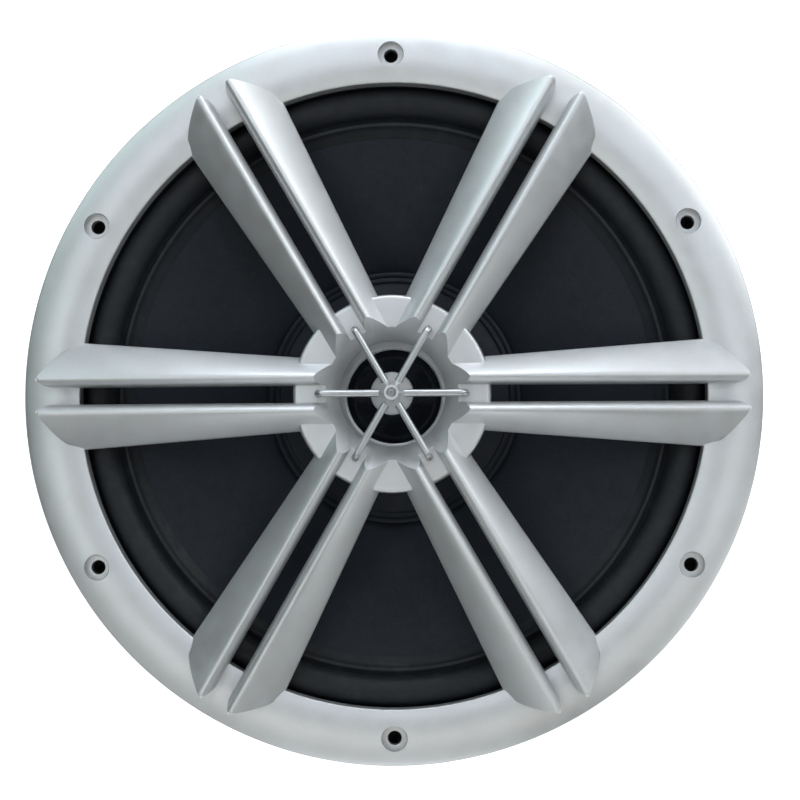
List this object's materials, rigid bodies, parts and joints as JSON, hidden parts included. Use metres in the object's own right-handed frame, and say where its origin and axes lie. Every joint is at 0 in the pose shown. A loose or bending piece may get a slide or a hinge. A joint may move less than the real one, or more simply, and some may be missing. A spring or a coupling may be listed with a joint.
{
  "type": "car subwoofer speaker",
  "caption": "Round loudspeaker driver with a spoked silver grille, a sprung paper-composite cone, an open basket and a booted ring magnet.",
  "frame": {"origin": "centre of the magnet boot's flat underside, on the cone's axis", "axes": "+Z along the cone's axis, out of the grille; +X through the middle of one pair of grille blades; the terminals face -Y"},
  "size_m": [0.325, 0.325, 0.179],
  "materials": {
    "silver_paint": "satin metallic silver paint on a moulding",
    "bright_steel": "bright plated wire",
    "gloss_black": "polished black",
    "cone_composite": "semi-gloss blue-black composite",
    "surround_rubber": "satin moulded rubber",
    "boot_rubber": "matte moulded rubber",
    "gasket_foam": "matte closed-cell foam",
    "basket_coating": "fine-textured black glass-filled plastic",
    "spider_cloth": "resin-dipped woven cotton",
    "former_film": "dark heat-resistant film",
    "copper_wire": "enamelled copper windings",
    "plated_steel": "zinc-plated steel",
    "ferrite": "sintered dark grey ferrite",
    "bare_aluminium": "turned aluminium",
    "black_screws": "black oxide",
    "terminal_moulding": "fine-textured black plastic",
    "red_button": "red plastic",
    "black_button": "black plastic",
    "tab_brass": "tinned brass",
    "lead_braid": "tinned copper braid"
  },
  "bodies": {
    "frame": {"trim_ring": "silver_paint", "hub_collar": "silver_paint", "blade_1a": "silver_paint", "blade_1b": "silver_paint", "blade_2a": "silver_paint", "blade_2b": "silver_paint", "blade_3a": "silver_paint", "blade_3b": "silver_paint", "blade_4a": "silver_paint", "blade_4b": "silver_paint", "blade_5a": "silver_paint", "blade_5b": "silver_paint", "blade_6a": "silver_paint", "blade_6b": "silver_paint", "bullet": "silver_paint", "strut_1": "bright_steel", "strut_2": "bright_steel", "strut_3": "bright_steel", "strut_4": "bright_steel", "strut_5": "bright_steel", "strut_6": "bright_steel", "bullet_screw": "bright_steel", "magnet_boot": "boot_rubber", "grille_gasket": "gasket_foam", "mounting_gasket": "gasket_foam", "basket": "basket_coating", "top_plate": "plated_steel", "t_yoke": "plated_steel", "button_spring_positive": "plated_steel", "button_spring_negative": "plated_steel", "magnet_upper": "ferrite", "magnet_lower": "ferrite", "shorting_ring": "bare_aluminium", "basket_screw_1": "black_screws", "basket_screw_2": "black_screws", "basket_screw_3": "black_screws", "basket_screw_4": "black_screws", "basket_screw_5": "black_screws", "basket_screw_6": "black_screws", "terminal_screw_positive": "black_screws", "terminal_screw_negative": "black_screws", "terminal_block": "terminal_moulding", "solder_tab_positive": "tab_brass", "solder_tab_negative": "tab_brass", "surround": "surround_rubber", "spider": "spider_cloth", "lead_positive": "lead_braid", "lead_negative": "lead_braid"},
    "cone_assembly": {"cone": "cone_composite", "dust_cap": "cone_composite", "dust_cap_bezel": "silver_paint", "dust_cap_lens": "gloss_black", "voice_coil_former": "former_film", "voice_coil_winding": "copper_wire"},
    "button_positive": {"push_button_positive": "red_button"},
    "button_negative": {"push_button_negative": "black_button"}
  },
  "joints": [
    {"name": "cone_travel", "type": "slide", "parent": "frame", "child": "cone_assembly", "axis": [0, 0, 1], "range_m": [-0.01, 0.01], "stiffness_N_per_m": 5000, "deforming": ["surround", "spider", "lead_positive", "lead_negative"]},
    {"name": "positive_terminal_push", "type": "slide", "parent": "frame", "child": "button_positive", "axis": [0, 1, 0], "range_m": [0, 0.003], "stiffness_N_per_m": 600, "springref_m": -0.002, "deforming": ["button_spring_positive"]},
    {"name": "negative_terminal_push", "type": "slide", "parent": "frame", "child": "button_negative", "axis": [0, 1, 0], "range_m": [0, 0.003], "stiffness_N_per_m": 600, "springref_m": -0.002, "deforming": ["button_spring_negative"]}
  ]
}
